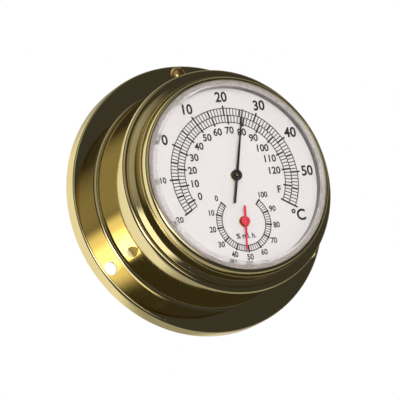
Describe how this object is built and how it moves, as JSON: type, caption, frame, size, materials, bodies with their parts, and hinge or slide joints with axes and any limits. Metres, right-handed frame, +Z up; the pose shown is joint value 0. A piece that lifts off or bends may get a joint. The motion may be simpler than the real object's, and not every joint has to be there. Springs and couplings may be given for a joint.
{
  "type": "dial hygrometer",
  "caption": "Round brass wall hygrometer in a porthole case: bevelled glass, white dial with a temperature pointer over a smaller humidity pointer, and a screw flange.",
  "frame": {"origin": "centre of the flange's skirt edge, in the plane of the wall, on the case's axis", "axes": "+Z up, +Y into the wall, so the dial faces -Y and +X is to the right of someone who reads it"},
  "size_m": [0.097, 0.0553, 0.097],
  "materials": {
    "polished_brass": "mirror-polished and lacquered",
    "screw_brass": "polished",
    "turned_brass": "fine turned",
    "bevelled_glass": "clear, ground and polished bevel",
    "gasket_silicone": "matt translucent",
    "spacer_plastic": "satin grey",
    "dial_enamel": "matt silver-white",
    "carrier_plastic": "fine moulded texture",
    "zinc_steel": "zinc plated",
    "bimetal_strip": "rolled strip",
    "humidity_strip": "coated foil strip",
    "black_lacquer": "satin black",
    "red_lacquer": "satin red",
    "cover_plastic": "fine moulded texture"
  },
  "bodies": {
    "case": {"base_flange": "polished_brass", "case_drum": "polished_brass", "bezel_ring": "polished_brass", "front_glass": "bevelled_glass", "glass_gasket": "gasket_silicone", "spacer_ring": "spacer_plastic", "dial_plate": "dial_enamel", "dial_carrier": "carrier_plastic", "retaining_ring": "turned_brass", "back_cover": "cover_plastic", "back_cover_screws": "zinc_steel", "top_wall_screw": "screw_brass", "temperature_front_bush": "turned_brass", "temperature_bush_nut": "turned_brass", "temperature_bridge": "zinc_steel", "temperature_bridge_screws": "zinc_steel", "temperature_rear_bush": "turned_brass", "temperature_adjuster_washer": "zinc_steel", "humidity_front_bush": "turned_brass", "humidity_bush_nut": "turned_brass", "humidity_bridge": "zinc_steel", "humidity_bridge_screws": "zinc_steel", "humidity_rear_bush": "turned_brass", "humidity_adjuster_washer": "zinc_steel"},
    "temperature_zero_lever": {"temperature_adjuster": "zinc_steel", "temperature_coil": "bimetal_strip"},
    "temperature_hand": {"temperature_pointer": "black_lacquer", "temperature_arbor": "turned_brass", "temperature_collet": "turned_brass"},
    "humidity_zero_lever": {"humidity_adjuster": "zinc_steel", "humidity_coil": "humidity_strip"},
    "humidity_hand": {"humidity_pointer": "red_lacquer", "humidity_arbor": "turned_brass", "humidity_collet": "turned_brass"}
  },
  "joints": [
    {"name": "temperature_zero_adjust", "type": "hinge", "parent": "case", "child": "temperature_zero_lever", "pos_m": [0, -0.0351, 0], "axis": [0, 1, 0], "range_deg": [-12, 12]},
    {"name": "temperature_reading", "type": "hinge", "parent": "temperature_zero_lever", "child": "temperature_hand", "pos_m": [0, -0.0351, 0], "axis": [0, 1, 0], "range_deg": [-136.2, 103.8], "stiffness_Nm_per_rad": 0.0003, "deforming": ["temperature_coil"]},
    {"name": "humidity_zero_adjust", "type": "hinge", "parent": "case", "child": "humidity_zero_lever", "pos_m": [0, -0.0351, -0.01625], "axis": [0, -1, 0], "range_deg": [-5, 5]},
    {"name": "humidity_reading", "type": "hinge", "parent": "humidity_zero_lever", "child": "humidity_hand", "pos_m": [0, -0.0351, -0.01625], "axis": [0, -1, 0], "range_deg": [-126.9, 143.1], "stiffness_Nm_per_rad": 0.00015, "deforming": ["humidity_coil"]}
  ]
}
